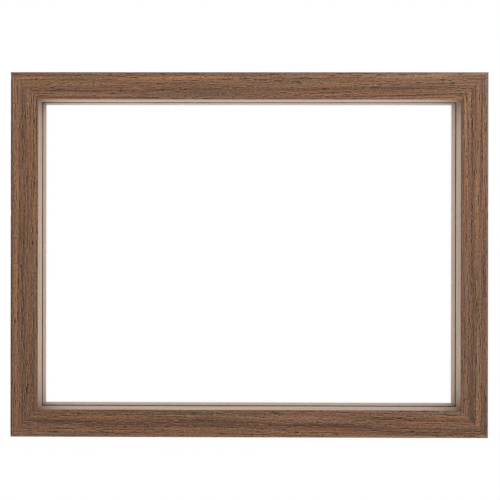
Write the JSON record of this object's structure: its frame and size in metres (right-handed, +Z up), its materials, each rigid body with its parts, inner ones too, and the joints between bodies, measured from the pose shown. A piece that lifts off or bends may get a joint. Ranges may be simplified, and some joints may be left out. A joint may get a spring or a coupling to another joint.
{
  "type": "picture frame",
  "caption": "Landscape photo frame of walnut-veneered moulding that clamps a print between two glass panes, with turn buttons and hangers at the back.",
  "frame": {"origin": "middle of the flat underside on which the frame stands", "axes": "+X along the long side, +Y from the face towards the back, +Z up"},
  "size_m": [0.2126, 0.0222, 0.1626],
  "materials": {
    "walnut_veneer": "matt lacquered veneer, grain along each rail",
    "pale_wood": "planed and sanded, no finish",
    "float_glass": "clear float glass, ground edges",
    "zinc_plate": "pressed steel, bright zinc plate",
    "bright_steel": "bare drawn steel"
  },
  "bodies": {
    "frame": {"rail_core_bottom": "pale_wood", "rail_veneer_bottom": "walnut_veneer", "retaining_strip_bottom": "pale_wood", "corner_nail_bottom": "bright_steel", "button_screw_bottom_1": "zinc_plate", "button_screw_bottom_2": "zinc_plate", "rail_core_right": "pale_wood", "rail_veneer_right": "walnut_veneer", "retaining_strip_right": "pale_wood", "corner_nail_right": "bright_steel", "button_screw_right_1": "zinc_plate", "button_screw_right_2": "zinc_plate", "rail_core_top": "pale_wood", "rail_veneer_top": "walnut_veneer", "retaining_strip_top": "pale_wood", "corner_nail_top": "bright_steel", "button_screw_top_1": "zinc_plate", "button_screw_top_2": "zinc_plate", "sawtooth_hanger_top": "zinc_plate", "hanger_nail_top_1": "bright_steel", "hanger_nail_top_2": "bright_steel", "rail_core_left": "pale_wood", "rail_veneer_left": "walnut_veneer", "retaining_strip_left": "pale_wood", "corner_nail_left": "bright_steel", "button_screw_left_1": "zinc_plate", "button_screw_left_2": "zinc_plate", "sawtooth_hanger_left": "zinc_plate", "hanger_nail_left_1": "bright_steel", "hanger_nail_left_2": "bright_steel", "glass_front": "float_glass", "glass_back": "float_glass"},
    "button_bottom_1": {"turn_button_bottom_1": "zinc_plate"},
    "button_bottom_2": {"turn_button_bottom_2": "zinc_plate"},
    "button_right_1": {"turn_button_right_1": "zinc_plate"},
    "button_right_2": {"turn_button_right_2": "zinc_plate"},
    "button_top_1": {"turn_button_top_1": "zinc_plate"},
    "button_top_2": {"turn_button_top_2": "zinc_plate"},
    "button_left_1": {"turn_button_left_1": "zinc_plate"},
    "button_left_2": {"turn_button_left_2": "zinc_plate"}
  },
  "joints": [
    {"name": "turn_bottom_1", "type": "hinge", "parent": "frame", "child": "button_bottom_1", "pos_m": [-0.0613, 0.01, 0.0032], "axis": [0, 1, 0], "continuous": true},
    {"name": "turn_bottom_2", "type": "hinge", "parent": "frame", "child": "button_bottom_2", "pos_m": [0.0613, 0.01, 0.0032], "axis": [0, 1, 0], "continuous": true},
    {"name": "turn_right_1", "type": "hinge", "parent": "frame", "child": "button_right_1", "pos_m": [0.1031, 0.01, 0.045], "axis": [0, 1, 0], "continuous": true},
    {"name": "turn_right_2", "type": "hinge", "parent": "frame", "child": "button_right_2", "pos_m": [0.1031, 0.01, 0.1176], "axis": [0, 1, 0], "continuous": true},
    {"name": "turn_top_1", "type": "hinge", "parent": "frame", "child": "button_top_1", "pos_m": [0.0613, 0.01, 0.1594], "axis": [0, 1, 0], "continuous": true},
    {"name": "turn_top_2", "type": "hinge", "parent": "frame", "child": "button_top_2", "pos_m": [-0.0613, 0.01, 0.1594], "axis": [0, 1, 0], "continuous": true},
    {"name": "turn_left_1", "type": "hinge", "parent": "frame", "child": "button_left_1", "pos_m": [-0.1031, 0.01, 0.1176], "axis": [0, 1, 0], "continuous": true},
    {"name": "turn_left_2", "type": "hinge", "parent": "frame", "child": "button_left_2", "pos_m": [-0.1031, 0.01, 0.045], "axis": [0, 1, 0], "continuous": true}
  ]
}
